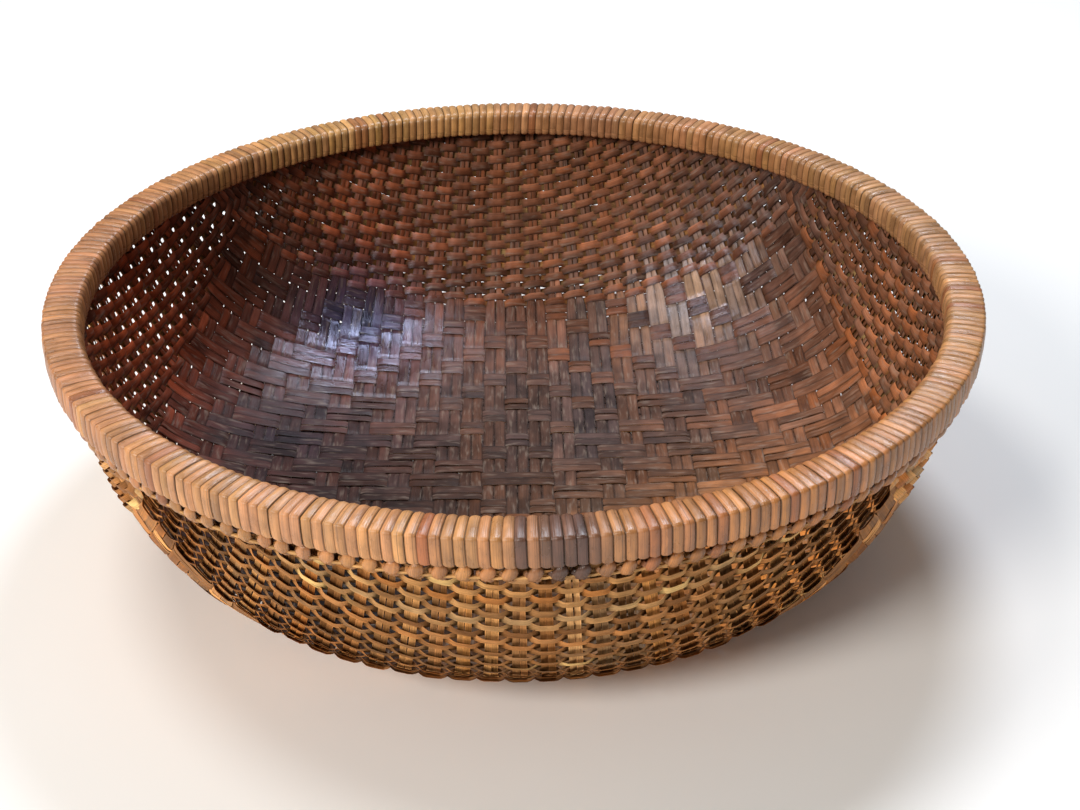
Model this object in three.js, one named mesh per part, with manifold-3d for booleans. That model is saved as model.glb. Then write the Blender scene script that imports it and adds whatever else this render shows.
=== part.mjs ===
// A round plaited basket: a woven mat pressed into a shallow bowl, clamped between an
// inner and an outer hoop, covered by a flat edge strip and bound with lengths of split cane.
// Millimetres, +Z up. The origin is the centre of the flat face that it rests on.
import * as THREE from 'three';
import { mergeVertices } from 'three/addons/utils/BufferGeometryUtils.js';
import Module from 'manifold-3d';

const wasm = await Module();
wasm.setup();

// Driving dimensions
const HEIGHT = 131;            // resting face to the top of the bound rim
const RIM_RADIUS = 230;        // outside of the bound rim
const RIM_WIDTH = 18;
const RIM_HEIGHT = 15;
const BASE_RADIUS = 60;        // flat part of the underside
const BASE_PULL = 0.66;        // how far the flat base shapes the curve, as a part of the rim radius
const WALL_PULL = 0.725;       // how far the rim's slope shapes it, as a part of the wall's height
const WALL_LEAN = 13.2;        // degrees the wall leans outwards where it meets the rim
const MAT_THICKNESS = 2.4;
const MAT_INSET = 5.1;         // from the rim's outside to the mat's outer face
const CANE = 1.1;              // thickness of the binding cane
const GAP = 0.3;               // clearance between neighbouring pieces
const EDGE_STRIP = 1.7;        // thickness of the flat strip over the mat's edge
const CORNER_CUT = 1.5;        // cut off the corners of the bound rim's section
const LIP_CUT = 3.4;           // the same at its rounder inner top corner
const HOOP_CUT = 1;            // cut off the hoops' corners
const HOOP_SIDE_CUT = 2;       // the same on the side that faces the bowl
const KNOT_DROP = 8.5;         // how far the lashing hangs below the hoops
const KNOT_DEPTH = 4;
const KNOT_CUT = 1;            // cut off the lashing's lower corners
const ROD_RADIUS = 1;          // thin cane that runs below the lashing
const SCARF_GAP = 0.4;         // between the two ends of a hoop
const BINDER_LENGTHS = 12;     // separate lengths of cane round the rim
const BINDER_START = -2;       // degrees, where the first length begins
const SIDES = 72;              // flats round the whole basket
const WALL_STEPS = 14;         // straight steps from the rim to the base

// Places that follow from them
const RIM_BOTTOM = HEIGHT - RIM_HEIGHT;
const RIM_INNER = RIM_RADIUS - RIM_WIDTH;
const MAT_OUTER = RIM_RADIUS - MAT_INSET;
const MAT_INNER = MAT_OUTER - MAT_THICKNESS;
const CORE_OUTER = RIM_RADIUS - CANE - GAP;
const CORE_INNER = RIM_INNER + CANE + GAP;
const CORE_BOTTOM = RIM_BOTTOM + CANE + GAP;
const CORE_TOP = HEIGHT - CANE - GAP;
const HOOP_TOP = CORE_TOP - EDGE_STRIP - GAP;
const KNOT_BOTTOM = RIM_BOTTOM - KNOT_DROP;

const radians = THREE.MathUtils.degToRad;

// ---- geometry helpers -------------------------------------------------------------

// A ring or bowl from its section, given as [radius, height] points, outer side upwards.
function turned(section) {
  const points = section.map(([radius, height]) => new THREE.Vector2(radius, height));
  return new THREE.LatheGeometry(points, SIDES).rotateX(Math.PI / 2);
}

function closedRing(section) {
  return turned([...section, section[0]]);
}

// A hoop's section with its corners cut off, by one amount on its inner side and another
// on its outer side.
function hoopSection(inner, outer, innerCut, outerCut) {
  return [
    [inner + innerCut, CORE_BOTTOM],
    [outer - outerCut, CORE_BOTTOM],
    [outer, CORE_BOTTOM + outerCut],
    [outer, HOOP_TOP - outerCut],
    [outer - outerCut, HOOP_TOP],
    [inner + innerCut, HOOP_TOP],
    [inner, HOOP_TOP - innerCut],
    [inner, CORE_BOTTOM + innerCut],
  ];
}

// The bound rim's outline drawn in by a distance, from the mat's outer side round to its
// inner side. Drawing in a cut corner shortens its slope.
function rimOutline(inset) {
  const shorter = inset * (2 - Math.SQRT2);
  const corner = CORNER_CUT - shorter;
  const lip = LIP_CUT - shorter;
  const inner = RIM_INNER + inset;
  const outer = RIM_RADIUS - inset;
  const bottom = RIM_BOTTOM + inset;
  const top = HEIGHT - inset;
  return [
    [MAT_OUTER + GAP, bottom],
    [outer - corner, bottom],
    [outer, bottom + corner],
    [outer, top - corner],
    [outer - corner, top],
    [inner + lip, top],
    [inner, top - lip],
    [inner, bottom + corner],
    [inner + corner, bottom],
    [MAT_INNER - GAP, bottom],
  ];
}

class RimArc extends THREE.Curve {
  constructor(radius, start, end) {
    super();
    this.radius = radius;
    this.start = start;
    this.end = end;
  }

  getPoint(t, target = new THREE.Vector3()) {
    const angle = THREE.MathUtils.lerp(this.start, this.end, t);
    return target.set(this.radius * Math.cos(angle), this.radius * Math.sin(angle), 0);
  }
}

// A section swept along part of the rim. The sweep lays a shape's x downwards and its y
// towards the centre.
function sweptArc(section, start, end, steps) {
  const outline = section.map(([radius, height]) => new THREE.Vector2(-height, RIM_RADIUS - radius));
  return new THREE.ExtrudeGeometry(new THREE.Shape(outline), {
    steps,
    bevelEnabled: false,
    extrudePath: new RimArc(RIM_RADIUS, start, end),
  });
}

function toSolid(geometry) {
  const bare = geometry.clone();
  bare.deleteAttribute('normal');
  bare.deleteAttribute('uv');
  const merged = mergeVertices(bare, 1e-4);
  return new wasm.Manifold(new wasm.Mesh({
    numProp: 3,
    vertProperties: new Float32Array(merged.attributes.position.array),
    triVerts: new Uint32Array(merged.index.array),
  }));
}

function toGeometry(solid) {
  const mesh = solid.getMesh();
  const geometry = new THREE.BufferGeometry();
  geometry.setAttribute('position', new THREE.BufferAttribute(mesh.vertProperties, 3));
  geometry.setIndex(new THREE.BufferAttribute(mesh.triVerts, 1));
  geometry.computeVertexNormals();
  return geometry;
}

// Opens a ring with the long slanting cut of a scarf joint, so that it is one bent strip
// whose thinned ends lie side by side. The cut reaches out of both of the ring's sides.
function scarfed(ring, radius, thickness, { azimuth, length }) {
  const cut = new THREE.BoxGeometry(SCARF_GAP, 1.7 * length, HEIGHT);
  cut.rotateZ(Math.atan2(thickness, length));
  cut.translate(radius, 0, HEIGHT / 2 + RIM_HEIGHT);
  cut.rotateZ(radians(azimuth));
  return toGeometry(toSolid(ring).subtract(toSolid(cut)));
}

function named(name, geometry, colour, roughness) {
  const material = new THREE.MeshStandardMaterial({ color: colour, roughness, metalness: 0 });
  const mesh = new THREE.Mesh(geometry, material);
  mesh.name = name;
  return mesh;
}

// ---- the pieces -------------------------------------------------------------------

// The plaited mat: flat base, one continuous curve up to the rim, and an upright edge
// held between the hoops.
function wovenMat() {
  const pull = WALL_PULL * RIM_BOTTOM;
  const wall = new THREE.CubicBezierCurve(
    new THREE.Vector2(BASE_RADIUS, 0),
    new THREE.Vector2(BASE_RADIUS + BASE_PULL * RIM_RADIUS, 0),
    new THREE.Vector2(MAT_OUTER - pull * Math.tan(radians(WALL_LEAN)), RIM_BOTTOM - pull),
    new THREE.Vector2(MAT_OUTER, RIM_BOTTOM),
  );
  const outside = [];
  const inside = [];
  for (let step = 0; step <= WALL_STEPS; step += 1) {
    const t = step / WALL_STEPS;
    const point = wall.getPoint(t);
    const along = wall.getTangent(t);
    outside.push([point.x, point.y]);
    inside.unshift([point.x - along.y * MAT_THICKNESS, point.y + along.x * MAT_THICKNESS]);
  }
  inside[0] = [MAT_INNER, RIM_BOTTOM];
  return turned([
    [0, 0],
    ...outside,
    [MAT_OUTER, HOOP_TOP],
    [MAT_INNER, HOOP_TOP],
    ...inside,
    [0, MAT_THICKNESS],
  ]);
}

function innerHoop() {
  const outer = MAT_INNER - GAP;
  const section = hoopSection(CORE_INNER, outer, HOOP_SIDE_CUT, HOOP_CUT);
  const joint = { azimuth: 205, length: 70 };
  return scarfed(closedRing(section), (CORE_INNER + outer) / 2, outer - CORE_INNER, joint);
}

function outerHoop() {
  const inner = MAT_OUTER + GAP;
  const section = hoopSection(inner, CORE_OUTER, HOOP_CUT, HOOP_CUT);
  const joint = { azimuth: 40, length: 45 };
  return scarfed(closedRing(section), (inner + CORE_OUTER) / 2, CORE_OUTER - inner, joint);
}

// The flat strip laid over both hoops and the trimmed edge of the mat. Its inner side
// slopes with the rim's rounder corner.
function edgeStrip() {
  const inner = RIM_INNER + LIP_CUT + GAP;
  const outer = CORE_OUTER - GAP;
  const section = [
    [inner - EDGE_STRIP / 2, CORE_TOP - EDGE_STRIP],
    [outer, CORE_TOP - EDGE_STRIP],
    [outer, CORE_TOP - GAP],
    [outer - GAP, CORE_TOP],
    [inner + EDGE_STRIP / 2, CORE_TOP],
  ];
  const joint = { azimuth: 125, length: 90 };
  return scarfed(closedRing(section), (inner + outer) / 2, outer - inner + EDGE_STRIP, joint);
}

function underRimCane() {
  const height = KNOT_BOTTOM - GAP - ROD_RADIUS;
  const wall = MAT_OUTER - (RIM_BOTTOM - height) * Math.tan(radians(WALL_LEAN));
  const centre = wall + 2 * GAP + ROD_RADIUS;
  const section = [];
  for (let corner = 0; corner < 6; corner += 1) {
    const angle = (corner + 0.5) * Math.PI / 3;
    section.push([centre + ROD_RADIUS * Math.cos(angle), height + ROD_RADIUS * Math.sin(angle)]);
  }
  return scarfed(closedRing(section), centre, 2 * ROD_RADIUS, { azimuth: 300, length: 25 });
}

// One length of binding cane, wound over the hoops side by side. Its section is open
// below, where the mat comes through, and the lashing under the rim hangs from its outer side.
function binderLength(start, end) {
  const inner = MAT_OUTER + GAP;
  const outer = inner + KNOT_DEPTH;
  const lashing = [
    [inner, KNOT_BOTTOM + KNOT_CUT],
    [inner + KNOT_CUT, KNOT_BOTTOM],
    [outer - KNOT_CUT, KNOT_BOTTOM],
    [outer, KNOT_BOTTOM + KNOT_CUT],
    [outer, RIM_BOTTOM],
  ];
  const outerSkin = rimOutline(0).slice(2);
  const innerSkin = rimOutline(CANE).reverse();
  const steps = SIDES / BINDER_LENGTHS;
  return sweptArc([...lashing, ...outerSkin, ...innerSkin], start, end, steps);
}

// ---- the basket -------------------------------------------------------------------

const BINDER_COLOURS = [0xc39062, 0xc2915f, 0xab7850, 0xc2a06c, 0xbc9260, 0xb57f4f, 0xb97f4c, 0xba8650];

const basket = new THREE.Group();
basket.rotation.z = radians(BINDER_START);
basket.add(named('woven_mat', wovenMat(), 0x7b4c31, 0.5));
basket.add(named('inner_hoop', innerHoop(), 0xb08c58, 0.6));
basket.add(named('outer_hoop', outerHoop(), 0xb08c58, 0.6));
basket.add(named('edge_strip', edgeStrip(), 0xbb9763, 0.6));
basket.add(named('under_rim_cane', underRimCane(), 0xb88a4f, 0.5));

const turn = 2 * Math.PI / BINDER_LENGTHS;
const halfGap = GAP / RIM_RADIUS;
for (let index = 0; index < BINDER_LENGTHS; index += 1) {
  const name = `binder_cane_${String(index + 1).padStart(2, '0')}`;
  const geometry = binderLength(index * turn + halfGap, (index + 1) * turn - halfGap);
  basket.add(named(name, geometry, BINDER_COLOURS[index % BINDER_COLOURS.length], 0.4));
}

export default basket;
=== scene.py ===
"""Looks for a plaited cane bowl with a cane-bound rim, built over its CAD frame.

Lengths below are millimetres, +Z up, in the CAD's own frame; meshes are made in metres.
The mat is laid out flat first: u and v are distances across it from its centre, and every
strip is straight there. A point of the flat mat is then carried to the bowl: its direction
from the centre is kept, and its distance from the centre is measured along the curve.
"""

import math

import bpy
import numpy as np
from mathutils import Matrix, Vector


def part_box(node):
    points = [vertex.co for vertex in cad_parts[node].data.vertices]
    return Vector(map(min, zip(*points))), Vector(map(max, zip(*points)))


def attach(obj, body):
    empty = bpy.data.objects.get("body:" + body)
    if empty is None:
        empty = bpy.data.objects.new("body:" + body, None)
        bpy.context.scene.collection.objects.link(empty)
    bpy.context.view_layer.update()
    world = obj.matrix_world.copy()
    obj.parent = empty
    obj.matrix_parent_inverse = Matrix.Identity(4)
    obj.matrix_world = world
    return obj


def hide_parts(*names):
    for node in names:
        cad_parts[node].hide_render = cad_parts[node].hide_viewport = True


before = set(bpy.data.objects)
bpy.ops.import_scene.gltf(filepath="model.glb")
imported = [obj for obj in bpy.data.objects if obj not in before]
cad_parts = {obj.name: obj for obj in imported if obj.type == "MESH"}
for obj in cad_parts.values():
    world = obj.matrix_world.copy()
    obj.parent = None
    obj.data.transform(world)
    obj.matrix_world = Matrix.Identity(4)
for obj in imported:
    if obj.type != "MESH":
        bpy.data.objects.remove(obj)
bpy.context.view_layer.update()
rng = np.random.default_rng(11)

# ---- sizes, from the frame ----------------------------------------------------------

MM = 0.001
LENGTHS = sorted(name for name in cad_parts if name.startswith("binder_cane"))


def height_range(node):
    low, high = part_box(node)
    return low.z / MM, high.z / MM


def radius_range(node):
    points = np.array([vertex.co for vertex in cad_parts[node].data.vertices]) / MM
    radii = np.hypot(points[:, 0], points[:, 1])
    return radii.min(), radii.max()


KNOT_BOTTOM, TOP = height_range(LENGTHS[0])
RIM_INNER, RIM_RADIUS = radius_range(LENGTHS[0])
MAT_OUTER = radius_range("woven_mat")[1]
MAT_TOP = height_range("woven_mat")[1]
KNOT_DROP = 8.5                        # how far the lashing hangs below the bound rim
RIM_BOTTOM = KNOT_BOTTOM + KNOT_DROP
RIM_MIDDLE = (TOP + RIM_BOTTOM) / 2

# The bowl's curve, as in the CAD
MAT_THICKNESS = 2.4
BASE_RADIUS = 60
BASE_PULL = 0.66 * RIM_RADIUS
WALL_PULL = 0.725 * RIM_BOTTOM
WALL_LEAN = math.radians(13.2)

# The plaiting
PAIR = 13.0                            # pitch of the paired strips of the base
PAIRS = {"x": 13, "y": 15}             # pairs of each family on each side of its middle pair
ROW = 4.6                              # pitch of the narrow single strips of the walls
ROW_NARROWING = (0.95, 1, 0.84)        # share of that width: over a stake outside, midway, inside
# Width of a row midway between stakes, and how far neighbours open up there; light shows on the left
ROW_SPACING = {"front and back": (6.0, 0.35), "left": (5.9, 0.82), "right": (6.9, 0.1)}
ROWS = 27
ROW_FULLNESS = 1.3                     # how much thicker a row is than a strip of a pair
STRIP_WIDTH = 6.1                      # one strip of a pair in the base
STAKE_WIDTH = 3.2                      # the same strip on the wall
STRIP_STEP = 1.6                       # spacing of the points along a strip
OUTER_LIFT = 1.9                       # how far a row's floats stand off the outside of the wall
INNER_LIFT = 1.2
ROW_TILTS = (-1.8, -0.8, 0.6)          # lift of a row's upper edge over its lower one: out, midway, in

# The binding
TURNS = 306
TURN_ANGLE = 2 * math.pi / TURNS
TURNS_PER_LENGTH = TURNS / len(LENGTHS)
BINDER_START = math.radians(-2)
TURN_SWING = 0.14                      # how far a turn slants as it passes round the rim, in turns
TURNS_PER_KNOT = 2
ROUND_INNER_BOTTOM = 2.4               # how rounded the corners of the bound rim are
ROUND_OUTER_BOTTOM = 1.8
ROUND_OUTER_TOP = 1.7
ROUND_INNER_TOP = 3.8
FLAT_FACE = 3                          # a side longer than this bows out
FACE_BOW = 0.35
UNDER_CANE_DROP = 7.2                  # from the bound rim's bottom to the thin cane's middle
UNDER_CANE_RADIUS = 0.9
UNDER_CANE_GAP = 2.2                   # from the wall to the thin cane's middle


# ---- small helpers ------------------------------------------------------------------

def smooth(t):
    t = np.clip(t, 0, 1)
    return t * t * (3 - 2 * t)


def mix(a, b, t):
    return a + (b - a) * t


def srgb(red, green, blue):
    """A linear colour from ordinary 0 to 255 values."""
    value = np.array([red, green, blue]) / 255
    return np.where(value < 0.04, value / 12.92, ((value + 0.055) / 1.055) ** 2.4)


def bell(distance, width):
    return np.exp(-((distance / width) ** 2))


# ---- from the flat mat to the bowl --------------------------------------------------

def bowl_curve():
    """Distance from the centre, radius and height of the mat's middle surface, and its inward normal."""
    corners = np.array([
        (BASE_RADIUS, 0),
        (BASE_RADIUS + BASE_PULL, 0),
        (MAT_OUTER - WALL_PULL * math.tan(WALL_LEAN), RIM_BOTTOM - WALL_PULL),
        (MAT_OUTER, RIM_BOTTOM),
    ])
    t = np.linspace(0, 1, 400)[:, None]
    weights = ((1 - t) ** 3, 3 * (1 - t) ** 2 * t, 3 * (1 - t) * t ** 2, t ** 3)
    wall = sum(weight * corner for weight, corner in zip(weights, corners))
    outside = np.vstack([(0, 0), wall, (MAT_OUTER, MAT_TOP)])
    distance = np.r_[0, np.cumsum(np.hypot(*np.diff(outside, axis=0).T))]
    along = np.gradient(outside, distance, axis=0)
    along /= np.hypot(*along.T)[:, None]
    normal = np.stack([-along[:, 1], along[:, 0]], 1)
    base_edge = (PAIRS["x"] + 0.5) * PAIR
    places = (base_edge - 30, base_edge + 20, distance[-2] - 25, distance[-2])
    depth = np.interp(distance, places, (1.4, 2.1, 2.1, MAT_THICKNESS / 2))
    middle = outside + normal * depth[:, None]
    return distance, middle, normal


DISTANCE, MIDDLE, NORMAL = bowl_curve()
MAT_END = DISTANCE[-1] - 1
RIM_DISTANCE = DISTANCE[-2]


def onto_bowl(u, v, lift):
    """Carries points of the flat mat to the bowl. lift is the height above the middle surface, inwards."""
    distance = np.hypot(u, v)
    turn = np.arctan2(v, u)
    radius = np.interp(distance, DISTANCE, MIDDLE[:, 0]) + lift * np.interp(distance, DISTANCE, NORMAL[:, 0])
    height = np.interp(distance, DISTANCE, MIDDLE[:, 1]) + lift * np.interp(distance, DISTANCE, NORMAL[:, 1])
    return np.stack([radius * np.cos(turn), radius * np.sin(turn), height], -1)


# ---- meshes -------------------------------------------------------------------------

class Bundle:
    """Tubes of quads gathered into one mesh. Each tube is a grid of points, (steps, sides)."""

    def __init__(self, name):
        self.name = name
        self.points = []
        self.faces = []
        self.uvs = []
        self.marks = {"tint": [], "place": [], "side": []}
        self.count = 0
        self.bands = []

    def add(self, grid, tint, place, side, sides_uv, folds=1, closed=False, flip=False):
        steps, sides = grid.shape[:2]
        index = self.count + np.arange(steps * sides).reshape(steps, sides)
        here = index if closed else index[:-1]
        after = np.roll(index, -1, axis=0) if closed else index[1:]
        quads = np.stack([here, after, np.roll(after, -1, 1), np.roll(here, -1, 1)], -1)
        across = 0.04 + 0.92 * np.asarray(sides_uv)
        low = np.broadcast_to(across[:-1], quads.shape[:2])
        high = np.broadcast_to(across[1:], quads.shape[:2])
        rows = np.arange(quads.shape[0])
        per_fold = -(-len(rows) // folds)
        fold = rows // per_fold
        start = np.broadcast_to(((rows - fold * per_fold) / per_fold)[:, None], quads.shape[:2])
        end = start + 1 / per_fold
        band = len(self.bands) + fold[:, None]
        uv = np.stack([
            np.stack([start, band + low], -1),
            np.stack([end, band + low], -1),
            np.stack([end, band + high], -1),
            np.stack([start, band + high], -1),
        ], 2)
        if flip:
            quads = quads[..., ::-1]
            uv = uv[:, :, ::-1]
        self.faces.extend(quads.reshape(-1, 4).tolist())
        self.uvs.append(uv.reshape(-1, 2))
        if not closed:
            ends = [index[0], index[-1][::-1]]
            spot = [(0, len(self.bands) + 0.5), (1, len(self.bands) + folds - 0.5)]
            for loop, corner in zip(ends, spot):
                self.faces.append((loop[::-1] if flip else loop).tolist())
                self.uvs.append(np.tile(corner, (sides, 1)))
        self.bands.extend([0] * folds)
        self.points.append(grid.reshape(-1, 3))
        for key, value in (("tint", tint), ("place", place), ("side", side)):
            self.marks[key].append(np.broadcast_to(value, grid.shape).reshape(-1, 3))
        self.count += steps * sides

    def build(self, material, nodes):
        mesh = bpy.data.meshes.new(self.name)
        mesh.from_pydata((np.vstack(self.points) * MM).tolist(), [], self.faces)
        layer = mesh.uv_layers.new(name="OFBake")
        uv = np.vstack(self.uvs) / (1, len(self.bands))
        layer.data.foreach_set("uv", uv.astype(np.float32).ravel())
        for key, values in self.marks.items():
            mark = mesh.attributes.new(key, "FLOAT_VECTOR", "POINT")
            mark.data.foreach_set("vector", np.vstack(values).astype(np.float32).ravel())
        mesh.shade_smooth()
        mesh.set_sharp_from_angle(angle=math.radians(48))
        mesh.materials.append(material)
        piece = bpy.data.objects.new(self.name, mesh)
        bpy.context.scene.collection.objects.link(piece)
        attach(piece, "root")
        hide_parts(*nodes)
        return piece


# ---- colours ------------------------------------------------------------------------

def inside_colour_and_painted_light(u, v, is_x):
    """The inside of the mat: red-brown walls, a dark patch of painted shade at the front left, a golden
    patch of painted light at the front right.

    The bluish patch and the pale one at the back corners stand for light reflected there.
    """
    colour = np.broadcast_to(srgb(86, 58, 47), u.shape + (3,))
    places = [
        (srgb(150, 66, 34), -240, 60, 110),
        (srgb(136, 70, 40), -120, 225, 90),
        (srgb(142, 88, 60), 60, 265, 110),
        (srgb(142, 90, 62), 245, 40, 110),
        # painted light: the golden patch at the front right of the base
        (srgb(190, 120, 52), 125, -115, 100),
        (srgb(130, 88, 46), 30, -140, 70),
        # painted shade: the near-black patch at the front left of the base
        (srgb(22, 14, 12), -95, -105, 108),
        (srgb(62, 42, 44), -130, 40, 60),
        # painted reflection: the bluish patch at the back left corner of the base
        (srgb(60, 56, 84), -100, 152, 36),
        (srgb(80, 58, 50), 30, 60, 70),
    ]
    if is_x:
        places.append((srgb(112, 64, 36), 58, 142, 45))
    else:
        # painted reflection: the pale patch at the back right corner of the base
        places.append((srgb(184, 152, 128), 120, 168, 44))
    for shade, centre_u, centre_v, width in places:
        share = bell(np.hypot(u - centre_u, v - centre_v), width)[..., None]
        colour = mix(colour, shade, share)
    return colour


def polish(u, v):
    """How glossy the inside is: shiniest at the two back corners of the base, as if a window lit them."""
    left = bell(np.hypot(u + 100, v - 145), 65)
    right = bell(np.hypot(u - 125, v - 160), 60)
    return np.clip(0.06 + left + 0.7 * right, 0, 1)


def strip_shade(spread):
    """A colour factor: a little lighter or darker, redder or greyer."""
    light = rng.normal(1, spread)
    warm = rng.normal(0, 0.45 * spread)
    return np.array([light * (1 + warm), light, light * (1 - 1.5 * warm)])


OUTSIDE_COLOURS = [srgb(188, 130, 78), srgb(176, 118, 66), srgb(204, 150, 94), srgb(160, 106, 60)]
PALE_CANE = srgb(240, 196, 126)


# ---- the mat ------------------------------------------------------------------------

class Family:
    """The elements of one family: pairs over the base, then single rows on either side of it."""

    def __init__(self, letter):
        self.letter = letter
        count = PAIRS[letter]
        self.edge = (count + 0.5) * PAIR
        pairs = [(k * PAIR, abs(k), True) for k in range(-count, count + 1)]
        rows = [(side * (self.edge + (k + 0.5) * ROW), k, False) for side in (-1, 1) for k in range(ROWS)]
        self.elements = sorted(pairs + rows)
        self.centres = np.array([centre for centre, _, _ in self.elements])
        self.ordinals = np.array([ordinal for _, ordinal, _ in self.elements])
        self.paired = np.array([paired for _, _, paired in self.elements])


def plaiting(x_family, y_family):
    """True where an x element lies inside the y element that it crosses; one row per x element."""
    across = x_family.ordinals[:, None]
    along = y_family.ordinals[None]
    both = across + along
    toward_sides = np.abs(y_family.centres)[None] > np.abs(x_family.centres)[:, None]
    base = np.where(toward_sides, both % 3 != 2, both % 3 == 0)
    corner = both % 4 < 2
    wall = both % 2 == 0
    x_paired = x_family.paired[:, None]
    y_paired = y_family.paired[None]
    return np.where(x_paired & y_paired, base, np.where(x_paired | y_paired, wall, corner))


X_FAMILY = Family("x")
Y_FAMILY = Family("y")
X_INSIDE = plaiting(X_FAMILY, Y_FAMILY)


def crossing_lifts(inside, paired, crossed):
    """How high the element rides at each crossing, and half the length it stays there."""
    size = len(inside)
    if paired:
        inner = np.where(crossed, 0.58, 0.14)
        outer = inner
        flat = np.where(crossed, 4.0, 0.8)
    else:
        inner = np.where(crossed, INNER_LIFT, 0.5) * rng.normal(1, 0.12, size)
        outer = np.where(crossed, OUTER_LIFT, 0.7) * rng.normal(1, 0.1, size)
        flat = np.where(crossed, np.where(inside, 2.6, 3.0), 0.6)
    return np.where(inside, inner, -outer), flat


def lift_along(along, centres, lifts, flat):
    knots = np.stack([centres - flat, centres + flat], 1).ravel()
    levels = np.repeat(lifts, 2)
    spot = np.clip(np.searchsorted(knots, along) - 1, 0, len(knots) - 2)
    t = smooth((along - knots[spot]) / (knots[spot + 1] - knots[spot]))
    return mix(levels[spot], levels[spot + 1], t)


def wander(along, size):
    """A slow drift to either side."""
    drift = np.zeros(len(along))
    for wavelength in (170, 75, 34):
        drift += np.sin(along * 2 * math.pi / wavelength + rng.uniform(0, 6.3)) * rng.normal(0, size)
        size *= 0.6
    return drift


# A strip's section, from its first edge over the inside face and back under: across, lift
STRIP_SECTION = np.array([
    (-0.5, 0.0), (0, 0.32), (0.5, 0.0), (0.5, -0.16), (0, -0.26), (-0.5, -0.16),
])
STRIP_SIDE = np.array([(1, 1, 0), (1, 0, 0), (1, 1, 0), (0, 1, 0), (0, 0, 0), (0, 1, 0)])
STRIP_UV = (0, 0.22, 0.44, 0.5, 0.72, 0.94, 1)


def row_shift(along, ordinal, size):
    """Rows lean together by twos between the stakes, the other way round in the next gap."""
    gap = np.floor(along / PAIR)
    return size * np.where((gap + ordinal) % 2 == 0, 1, -1) * np.abs(np.sin(math.pi * along / PAIR))


def outside_colour_and_painted_shade(colour, paired, lift, distance):
    """The cleaner outside of the mat, with painted shade where a row passes inwards and close under the rim.
    """
    colour = np.broadcast_to(colour, lift.shape + (3,))
    # painted shade close under the rim
    painted_shade = smooth((distance - RIM_DISTANCE + 8) / 6)
    if not paired:
        # painted shade where a row passes in behind a stake
        painted_shade = np.maximum(painted_shade, smooth((lift + 0.2) / 1.1))
        patch = bell((np.arange(len(lift)) * STRIP_STEP - rng.uniform(0, 400)), 16) * (rng.uniform() < 0.5)
        colour = mix(colour, PALE_CANE, patch[:, None])
    return colour * (1 - 0.72 * painted_shade[:, None])


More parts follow.
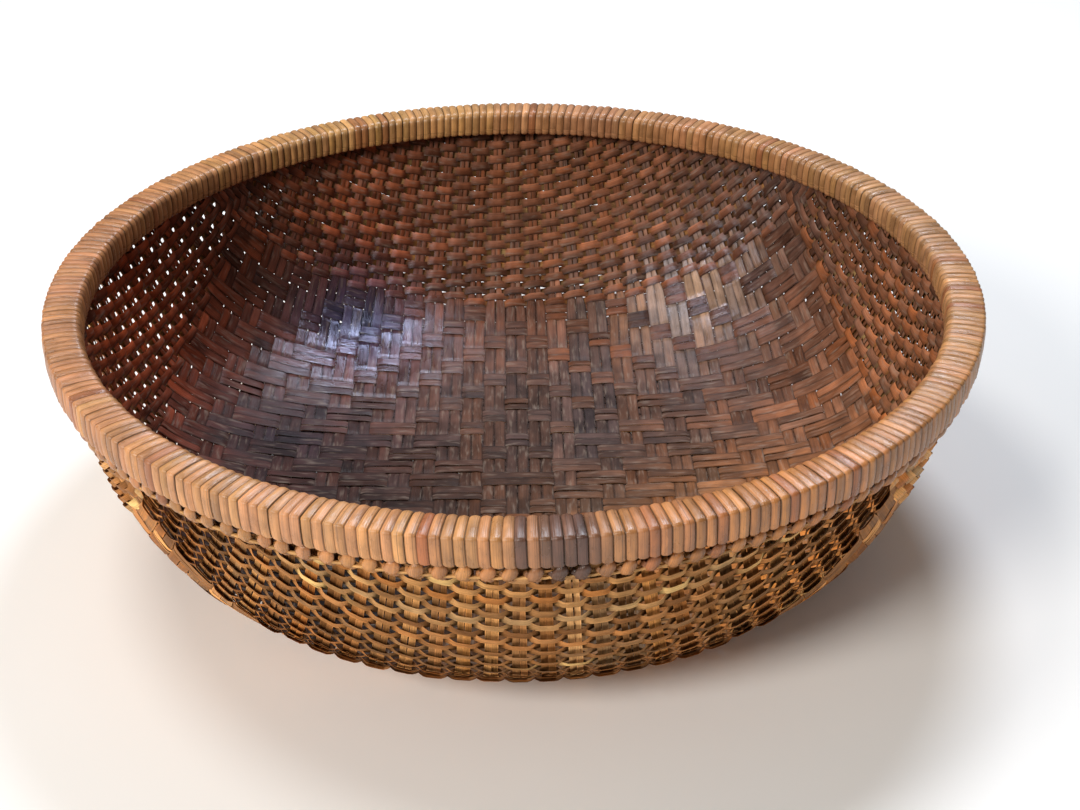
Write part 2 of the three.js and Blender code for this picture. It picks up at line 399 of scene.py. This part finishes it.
def add_strip(bundle, family, crossed, index, member, shade, clean):
    centre, ordinal, paired = family.elements[index]
    is_x = family.letter == "x"
    reach = math.sqrt(max(MAT_END ** 2 - (abs(centre) + 3) ** 2, 0))
    if reach < 12:
        return
    along = np.linspace(-reach, reach, max(8, int(2 * reach / STRIP_STEP)))
    on_wall = smooth((np.abs(along) - crossed.edge + 6) / 24)
    inside = X_INSIDE[index] if is_x else ~X_INSIDE[:, index]
    lifts, flat = crossing_lifts(inside, paired, crossed.paired)
    lift = lift_along(along, crossed.centres, lifts, flat)
    if paired:
        width = mix(STRIP_WIDTH, STAKE_WIDTH, on_wall)
        aside = centre + member * mix(STRIP_WIDTH / 2 + 0.1, STAKE_WIDTH / 2 + 0.1, on_wall)
        aside = aside + wander(along, 0.2)
    else:
        share = np.interp(lift, (-OUTER_LIFT, -0.3, INNER_LIFT), ROW_NARROWING)
        wall = "front and back" if is_x else "left" if centre < 0 else "right"
        wide, opening = ROW_SPACING[wall]
        width = wide * share * rng.uniform(0.97, 1.04)
        shift = row_shift(along, ordinal, opening) * (np.abs(along) < crossed.edge)
        aside = centre + wander(along, 0.14) + math.copysign(1, centre) * shift
    width = width * (1 + 0.04 * wander(along, 1.0))
    distance = np.hypot(along, aside)
    held = smooth((RIM_DISTANCE + 3 - distance) / 7)
    lift = mix(np.clip(lift, -0.9, 0.9), lift, held)
    side = np.broadcast_to(STRIP_SIDE, (len(along),) + STRIP_SIDE.shape).astype(float)
    upward = math.copysign(1, centre) * STRIP_SECTION[:, 0]

    across = aside[:, None] + STRIP_SECTION[:, 0] * width[:, None]
    height = lift[:, None] + STRIP_SECTION[:, 1] * (1 if paired else ROW_FULLNESS)
    if paired:
        height = height + wander(along, 0.45)[:, None] * STRIP_SECTION[:, 0]
    else:
        low_wall = smooth((distance - crossed.edge - 40) / 50)
        height = height * np.where(height < 0, mix(0.7, 1, low_wall)[:, None], 1)
        # the painted edge shade and highlight of the material are kept off each row's upper edge
        side[:, upward > 0, 1] *= 0.3
        tilt = np.interp(lift, (-OUTER_LIFT, 0, INNER_LIFT), ROW_TILTS)
        height = height + (tilt * held)[:, None] * upward
    run = np.broadcast_to(along[:, None], across.shape)
    u, v = (run, across) if is_x else (across, run)
    grid = onto_bowl(u, v, height)

    place = np.stack([run, STRIP_SECTION[:, 0] * width[:, None], rng.uniform(0, 1) + 0 * run], -1)
    shade = shade * strip_shade(0.08)
    outer = outside_colour_and_painted_shade(clean * shade, paired, lift, distance)[:, None]
    inner = inside_colour_and_painted_light(u, v, is_x) * shade
    wear_and_painted_light = lift_along(along, crossed.centres, rng.normal(1, 0.2, len(inside)), flat)[:, None, None]
    if not paired:
        outward = smooth((-0.6 - lift) / 0.6)[:, None, None]
        # painted light on each row's upper edge and painted shade on its lower edge, on its inside face
        wear_and_painted_light = wear_and_painted_light * (1 + 0.95 * upward[None, :, None])
        # painted shade on a row's inside face where it sinks below the stakes
        recess_shade = smooth((0.6 - lift) / 0.9)[:, None, None]
        # painted shade: where a row runs outside, its face towards the wall gets a dark copy of its outside
        # colour
        inner = mix(inner * (1 - 0.2 * recess_shade), outer * 0.35, outward)
        side[..., :1] *= 1 - 0.8 * outward
    inner = inner * wear_and_painted_light
    inwards = STRIP_SIDE[None, :, :1]
    tint = outer * (1 - inwards) + inner * inwards
    side[..., 2] = polish(u, v) * side[..., 0]
    bundle.add(grid, tint, place, side, STRIP_UV, folds=2, flip=not is_x)


def build_mat(material):
    """Both families of strips, in bundles that lie side by side."""
    for family, crossed in ((X_FAMILY, Y_FAMILY), (Y_FAMILY, X_FAMILY)):
        strips = []
        for index, paired in enumerate(family.paired):
            look = (strip_shade(0.15), OUTSIDE_COLOURS[rng.integers(len(OUTSIDE_COLOURS))])
            members = (-1, 1) if paired else (0,)
            strips.extend((index, member, *look) for member in members)
        parts = np.array_split(np.arange(len(strips)), 6)
        for number, part in enumerate(parts):
            bundle = Bundle(f"mat_strips_{family.letter}{number + 1}")
            for spot in part:
                add_strip(bundle, family, crossed, *strips[spot])
            bundle.build(material, ["woven_mat"])


# ---- the bound rim ------------------------------------------------------------------

def rim_outline():
    """The bound rim's outline: radius, height, outward direction; counter-clockwise from inner bottom."""
    corners = (
        (RIM_INNER, RIM_BOTTOM, ROUND_INNER_BOTTOM, 180),
        (RIM_RADIUS, RIM_BOTTOM, ROUND_OUTER_BOTTOM, 270),
        (RIM_RADIUS, TOP, ROUND_OUTER_TOP, 0),
        (RIM_INNER, TOP, ROUND_INNER_TOP, 90),
    )
    middle = (RIM_INNER + RIM_RADIUS) / 2
    rows = []
    for radius, height, rounding, first in corners:
        centre_r = radius - math.copysign(rounding, radius - middle)
        centre_z = height - math.copysign(rounding, height - RIM_MIDDLE)
        for angle in np.radians(np.linspace(first, first + 90, 6)):
            direction = (math.cos(angle), math.sin(angle))
            rows.append((centre_r + rounding * direction[0], centre_z + rounding * direction[1], *direction))
    rows = np.array(rows)
    filled = []
    for row, after in zip(rows, np.roll(rows, -1, axis=0)):
        filled.append(row)
        span = math.hypot(after[0] - row[0], after[1] - row[1])
        if span > FLAT_FACE:
            for t in (0.25, 0.5, 0.75):
                point = mix(row, after, t)
                point[:2] += point[2:] * FACE_BOW * math.sin(math.pi * t)
                filled.append(point)
    return np.array(filled)


OUTLINE = rim_outline()
# A turn's section: share of its half width, height over the grooves
TURN_SECTION = np.array([
    (-0.98, -0.85), (-0.68, -0.26), (0, 0.08), (0.68, -0.26), (0.98, -0.85), (0.6, -1.05), (-0.6, -1.05),
])
TURN_SIDE = np.array([(1, 1, 0), (1, 0.5, 0), (1, 0, 0), (1, 0.5, 0), (1, 1, 0), (0, 1, 0), (0, 1, 0)])
TURN_UV = (0, 0.12, 0.36, 0.6, 0.72, 0.8, 0.92, 1)


def near(azimuth, place, width):
    """How near a direction round the rim is to a place, both in degrees."""
    return bell((azimuth - place + 180) % 360 - 180, width)


def turn_colour(azimuth):
    """The binder's colour at a direction round the rim, in degrees."""
    colour = srgb(178, 124, 78)
    colour = mix(colour, srgb(192, 144, 90), near(azimuth, 115, 30))
    colour = mix(colour, srgb(172, 120, 84), near(azimuth, 80, 9))
    colour = mix(colour, srgb(170, 114, 72), near(azimuth, 180, 40))
    colour = mix(colour, srgb(172, 126, 84), near(azimuth, 15, 40))
    colour = mix(colour, srgb(182, 120, 68), near(azimuth, -60, 25))
    colour = mix(colour, srgb(200, 142, 92), near(azimuth, -115, 25))
    colour = colour * rng.normal(1, 0.09) * (1, rng.normal(1, 0.025), rng.normal(1, 0.05))
    if rng.uniform() < 0.05:
        colour = mix(colour, srgb(148, 82, 48), 0.6)
    colour = mix(colour, srgb(158, 84, 44), near(azimuth, -98.7, 0.6))
    dark = min(1, 1.5 * near(azimuth, -85.3, 2.9) + near(azimuth, -89.9, 0.6)) * rng.uniform(0.7, 1)
    return mix(colour, srgb(72, 50, 50), dark)


def add_turn(bundle, number, colour):
    middle = BINDER_START + (number + 0.5 + rng.normal(0, 0.02)) * TURN_ANGLE
    swing = np.cos(2 * math.pi * np.arange(len(OUTLINE)) / len(OUTLINE) - 0.6)
    azimuth = middle + TURN_SWING * swing[:, None] * TURN_ANGLE
    half = TURN_ANGLE / 2 * rng.uniform(0.98, 1.04)
    azimuth = azimuth + half * TURN_SECTION[:, 0]
    lift = TURN_SECTION[:, 1] + rng.normal(0, 0.1)
    radius = OUTLINE[:, 0, None] + OUTLINE[:, 2, None] * lift
    height = OUTLINE[:, 1, None] + OUTLINE[:, 3, None] * lift
    grid = np.stack([radius * np.cos(azimuth), radius * np.sin(azimuth), height], -1)
    run = np.r_[0, np.cumsum(np.hypot(*np.diff(OUTLINE[:, :2], axis=0).T))][:, None]
    run = np.broadcast_to(run, azimuth.shape)
    place = np.stack([run, 2.3 * TURN_SECTION[:, 0] + 0 * run, rng.uniform(0, 1) + 0 * run], -1)
    bundle.add(grid, colour, place, TURN_SIDE[None], TURN_UV, closed=True, flip=True)


KNOT_SECTION = np.array([(-1, -1.7), (-0.68, -0.3), (0, 0.3), (0.68, -0.3), (1, -1.7), (0, -2.0)])
KNOT_SIDE = np.array([(1, 1, 0), (1, 0.3, 0), (1, 0, 0), (1, 0.3, 0), (1, 1, 0), (0, 1, 0)])
KNOT_UV = (0, 0.15, 0.4, 0.65, 0.8, 0.9, 1)


def add_loop(bundle, azimuth, colour, centre_drop, tall, deep, shear, half_width, shift):
    """A band of cane that bulges from under the rim and slants across the wall."""
    angle = np.radians(np.linspace(-84, 84, 12))[:, None]
    lift = KNOT_SECTION[:, 1]
    out = 0.3 + (deep + lift) * np.cos(angle)
    height = RIM_BOTTOM - centre_drop + (tall + lift) * np.sin(angle)
    wall = np.interp(height, MIDDLE[:, 1], MIDDLE[:, 0]) + MAT_THICKNESS / 2
    narrow = 1 - 0.4 * np.sin(angle) ** 2
    aside = shift + shear * np.sin(angle) + half_width * narrow * KNOT_SECTION[:, 0]
    turn = azimuth + aside / RIM_RADIUS
    radius = wall + out
    grid = np.stack([radius * np.cos(turn), radius * np.sin(turn), height + 0 * turn], -1)
    run = tall * angle + 0 * turn
    place = np.stack([run, half_width * KNOT_SECTION[:, 0] + 0 * run, rng.uniform(0, 1) + 0 * run], -1)
    bundle.add(grid, colour, place, KNOT_SIDE[None], KNOT_UV)


def build_binding(material):
    """Each length of binding cane: its turns over the rim, and a lashing knot below every second turn."""
    for index, node in enumerate(LENGTHS):
        bundle = Bundle(f"binding_{index + 1:02d}")
        first = round(index * TURNS_PER_LENGTH)
        last = round((index + 1) * TURNS_PER_LENGTH)
        for number in range(first, last):
            azimuth = BINDER_START + (number + 0.5) * TURN_ANGLE
            colour = turn_colour(math.degrees(azimuth))
            add_turn(bundle, number, colour)
            if number % TURNS_PER_KNOT == 0:
                nudge = azimuth + rng.normal(0, 0.08) * TURN_ANGLE
                shade = colour * (0.95, 0.9, 0.78)
                deep = rng.uniform(3.2, 4.0)
                add_loop(bundle, nudge, shade, 5.0, 5.1, deep + 0.3, 0.9, 3.4, 0.2)
                add_loop(bundle, nudge, shade * 0.85, 7.4, 3.2, deep - 0.8, -2.4, 2.8, -0.7)
        bundle.build(material, [node])


def build_under_cane(material):
    """The thin cane that the lashing holds against the wall."""
    bundle = Bundle("under_cane")
    azimuth = np.linspace(0, 2 * math.pi, 720, endpoint=False)
    corners = np.radians(np.arange(0, 360, 60))
    wave = 0.25 * np.sin(azimuth * TURNS / TURNS_PER_KNOT) + 0.3 * np.sin(azimuth * 7 + 1)
    height = RIM_BOTTOM - UNDER_CANE_DROP + wave[:, None] + UNDER_CANE_RADIUS * np.sin(corners)
    wall = np.interp(height, MIDDLE[:, 1], MIDDLE[:, 0]) + MAT_THICKNESS / 2
    radius = wall + UNDER_CANE_GAP + UNDER_CANE_RADIUS * np.cos(corners)
    turn = azimuth[:, None] + 0 * radius
    grid = np.stack([radius * np.cos(turn), radius * np.sin(turn), height], -1)
    place = np.stack([turn * RIM_RADIUS, np.sin(corners) + 0 * turn, 0.4 + 0 * turn], -1)
    colour = srgb(196, 148, 92)
    sides_uv = np.linspace(0, 1, len(corners) + 1)
    bundle.add(grid, colour, place, (1, 0.3, 0), sides_uv, folds=4, closed=True, flip=True)
    bundle.build(material, ["under_rim_cane"])


# ---- materials ----------------------------------------------------------------------

class Shader:
    """A material with a principled surface, and short ways to add nodes to it."""

    def __init__(self, name):
        self.material = bpy.data.materials.new(name)
        self.material.use_nodes = True
        self.tree = self.material.node_tree
        self.surface = self.tree.nodes["Principled BSDF"]

    def add(self, kind, **settings):
        node = self.tree.nodes.new("ShaderNode" + kind)
        for key, value in settings.items():
            setattr(node, key, value)
        return node

    def put(self, value, socket):
        if isinstance(value, bpy.types.NodeSocket):
            self.tree.links.new(value, socket)
        else:
            socket.default_value = value

    def math(self, operation, *values):
        node = self.add("Math", operation=operation)
        for value, socket in zip(values, node.inputs):
            self.put(value, socket)
        return node.outputs[0]

    def split(self, vector):
        node = self.add("SeparateXYZ")
        self.put(vector, node.inputs[0])
        return node.outputs

    def mark(self, name):
        return self.add("Attribute", attribute_name=name).outputs["Vector"]

    def noise(self, x, y, z, detail=3.0):
        """Noise over three coordinates, each given in waves."""
        combined = self.add("CombineXYZ")
        for value, socket in zip((x, y, z), combined.inputs):
            self.put(value, socket)
        node = self.add("TexNoise")
        self.put(combined.outputs[0], node.inputs["Vector"])
        self.put(1.0, node.inputs["Scale"])
        self.put(detail, node.inputs["Detail"])
        return node.outputs["Fac"]

    def streaks(self, along, across, waves, shift, detail):
        """Noise over a strip, with its own number of waves per millimetre along and across."""
        run = self.math("MULTIPLY", along, waves[0])
        width = self.math("MULTIPLY", across, waves[1])
        return self.noise(run, width, shift, detail)

    def span(self, value, low, high, to_low, to_high):
        node = self.add("MapRange", interpolation_type="SMOOTHSTEP")
        for item, socket in zip((value, low, high, to_low, to_high), node.inputs):
            self.put(item, socket)
        return node.outputs[0]

    def scale(self, colour, factor):
        node = self.add("VectorMath", operation="SCALE")
        self.put(colour, node.inputs[0])
        self.put(factor, node.inputs["Scale"])
        return node.outputs[0]

    def blend(self, first, second, factor):
        node = self.add("Mix", data_type="RGBA")
        self.put(factor, node.inputs["Factor"])
        self.put(first, node.inputs["A"])
        self.put(second, node.inputs["B"])
        return node.outputs["Result"]

    def finish(self, colour, roughness, height, depth):
        self.put(colour, self.surface.inputs["Base Color"])
        self.put(roughness, self.surface.inputs["Roughness"])
        bump = self.add("Bump")
        self.put(height, bump.inputs["Height"])
        self.put(depth * MM, bump.inputs["Distance"])
        self.put(bump.outputs[0], self.surface.inputs["Normal"])
        return self.material


SCUFF_COLOUR = (0.30, 0.23, 0.18, 1)
SHEEN_TINT = (0.62, 0.68, 1.0, 1)      # bluish, as if a window were reflected


def cane_material(name, edge_shading, inside_edge_shading, roughness, gloss, streaks, scuffs, line):
    """Split cane. Grain runs along each strip; its edges are darker or lighter by two factors, outside and
    inside:
    painted shade where a strip dips beside its neighbours, and on the mat's outside a painted highlight that
    is partly the paler cut edge of the cane; line draws a lengthwise crack."""
    shader = Shader(name)
    along, across, seed = shader.split(shader.mark("place"))
    inside, edge, polished = shader.split(shader.mark("side"))
    shift = shader.math("MULTIPLY", seed, 53.0)
    fine = shader.streaks(along, across, (0.03, 2.6), shift, 4.0)
    slow = shader.streaks(along, across, (0.07, 0.15), shift, 3.0)
    specks = shader.streaks(along, across, (0.9, 1.6), shift, 2.0)
    grain = shader.span(fine, 0.3, 0.7, 1 - streaks, 1 + 0.8 * streaks)
    tone = shader.math("MULTIPLY", grain, shader.span(slow, 0.3, 0.7, 0.72, 1.24))
    tone = shader.math("MULTIPLY", tone, shader.span(specks, 0.62, 0.75, 1.0, 0.72))
    # painted shade or painted highlight along the edges
    edge_shading_tone = shader.math("ADD", edge_shading, shader.math("MULTIPLY", inside, inside_edge_shading - edge_shading))
    tone = shader.math("MULTIPLY", tone, shader.span(edge, 0.6, 1.0, 1.0, edge_shading_tone))
    if line:
        place = shader.span(shader.math("FRACT", shader.math("MULTIPLY", seed, 17.0)), 0.0, 1.0, -1.6, 1.6)
        gap = shader.math("ABSOLUTE", shader.math("SUBTRACT", across, place))
        draw = shader.math("FRACT", shader.math("MULTIPLY", seed, 7.0))
        chosen = shader.math("GREATER_THAN", draw, 0.7)
        crack = shader.math("MULTIPLY", chosen, shader.span(gap, 0.06, 0.2, 0.45, 0.0))
        tone = shader.math("MULTIPLY", tone, shader.math("SUBTRACT", 1.0, crack))
    colour = shader.scale(shader.mark("tint"), tone)
    rubbed = shader.streaks(along, across, (0.1, 0.5), shift, 6.0)
    scuff = shader.math("MULTIPLY", inside, shader.span(rubbed, 0.5, 0.78, 0.0, scuffs))
    colour = shader.blend(colour, SCUFF_COLOUR, scuff)
    rough = shader.math("ADD", roughness, shader.span(slow, 0.3, 0.7, -0.06, 0.1))
    rough = shader.math("SUBTRACT", rough, shader.math("MULTIPLY", polished, 0.44))
    shader.put(shader.math("ADD", polished, gloss), shader.surface.inputs["Specular IOR Level"])
    sheen = shader.blend((1, 1, 1, 1), SHEEN_TINT, polished)
    shader.put(sheen, shader.surface.inputs["Specular Tint"])
    return shader.finish(colour, rough, fine, 0.25)


def hoop_material():
    """Split bamboo, for the hoops under the binding."""
    shader = Shader("hoop_bamboo")
    x, y, z = shader.split(shader.add("TexCoord").outputs["Object"])
    squares = shader.math("ADD", shader.math("MULTIPLY", x, x), shader.math("MULTIPLY", y, y))
    radius = shader.math("SQRT", squares)
    turn = shader.math("ARCTAN2", y, x)
    run = shader.math("MULTIPLY", turn, 6.0)
    out = shader.math("MULTIPLY", radius, 1800.0)
    up = shader.math("MULTIPLY", z, 1800.0)
    grain = shader.noise(run, out, up)
    colour = shader.blend((0.50, 0.34, 0.17, 1), (0.28, 0.17, 0.08, 1), grain)
    return shader.finish(colour, shader.span(grain, 0.3, 0.7, 0.5, 0.7), grain, 0.3)


# ---- the set ------------------------------------------------------------------------

def build_floor():
    shader = Shader("pale_floor")
    x, y, _ = shader.split(shader.add("TexCoord").outputs["Object"])
    cloud = shader.noise(shader.math("MULTIPLY", x, 2.0), shader.math("MULTIPLY", y, 2.0), 0.0)
    colour = shader.blend((0.86, 0.86, 0.85, 1), (0.90, 0.90, 0.89, 1), cloud)
    material = shader.finish(colour, 0.8, cloud, 0.0)
    mesh = bpy.data.meshes.new("floor")
    size = 12
    corners = [(-size, -size, 0), (size, -size, 0), (size, size, 0), (-size, size, 0)]
    mesh.from_pydata(corners, [], [(0, 1, 2, 3)])
    mesh.materials.append(material)
    floor = bpy.data.objects.new("floor", mesh)
    bpy.context.scene.collection.objects.link(floor)


def add_light(name, position, size, power, colour):
    light = bpy.data.lights.new(name, "AREA")
    light.shape = "DISK"
    light.size = size
    light.energy = power
    light.color = colour
    lamp = bpy.data.objects.new(name, light)
    lamp.location = position
    toward = -lamp.location
    lamp.rotation_euler = toward.to_track_quat("-Z", "Y").to_euler()
    bpy.context.scene.collection.objects.link(lamp)


def build_lights():
    world = bpy.data.worlds.new("studio")
    world.use_nodes = True
    background = world.node_tree.nodes["Background"]
    background.inputs["Color"].default_value = (1, 1, 1, 1)
    background.inputs["Strength"].default_value = 0.2
    bpy.context.scene.world = world
    add_light("key", (-1.4, -1.5, 1.4), 0.9, 46, (1.0, 0.96, 0.9))
    add_light("overhead", (-0.7, 0.35, 1.8), 0.6, 12, (1.0, 0.98, 0.95))
    add_light("window", (0.3, 1.0, 1.7), 0.6, 26, (0.84, 0.9, 1.0))
    bpy.context.scene.view_settings.view_transform = "Standard"


LENS = 51.67
CAMERA_BACK = 3.0444                   # from the rim's centre, in rim radii
CAMERA_UP = 1.515                      # above the rim's top, in rim radii
CAMERA_PITCH = 0.5514                  # radians below level
CAMERA_ROLL = 0.0024
CAMERA_YAW = -0.0191


def build_camera():
    """Looks down into the bowl from the front, from three rim radii away."""
    data = bpy.data.cameras.new("camera")
    data.sensor_width = 36
    data.lens = LENS
    camera = bpy.data.objects.new("camera", data)
    camera.location = (0, -CAMERA_BACK * RIM_RADIUS * MM, (TOP + CAMERA_UP * RIM_RADIUS) * MM)
    camera.rotation_euler = (math.pi / 2 - CAMERA_PITCH, CAMERA_ROLL, CAMERA_YAW)
    bpy.context.scene.collection.objects.link(camera)
    bpy.context.scene.camera = camera


bamboo = hoop_material()
for node in ("inner_hoop", "outer_hoop", "edge_strip"):
    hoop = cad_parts[node]
    hoop.data.materials.clear()
    hoop.data.materials.append(bamboo)

# mat: painted highlight on the outside edges, partly the paler cut edge, and painted shade on the inside
# edges; binder: painted shade at the edges of its turns
build_mat(cane_material("mat_cane", 1.3, 0.5, 0.55, 0.08, 0.22, 0.5, False))
build_binding(cane_material("binder_cane", 0.45, 0.45, 0.3, 0.6, 0.16, 0.0, True))
build_under_cane(cane_material("thin_cane", 0.8, 0.8, 0.5, 0.25, 0.2, 0.0, False))
build_floor()
build_lights()
build_camera()
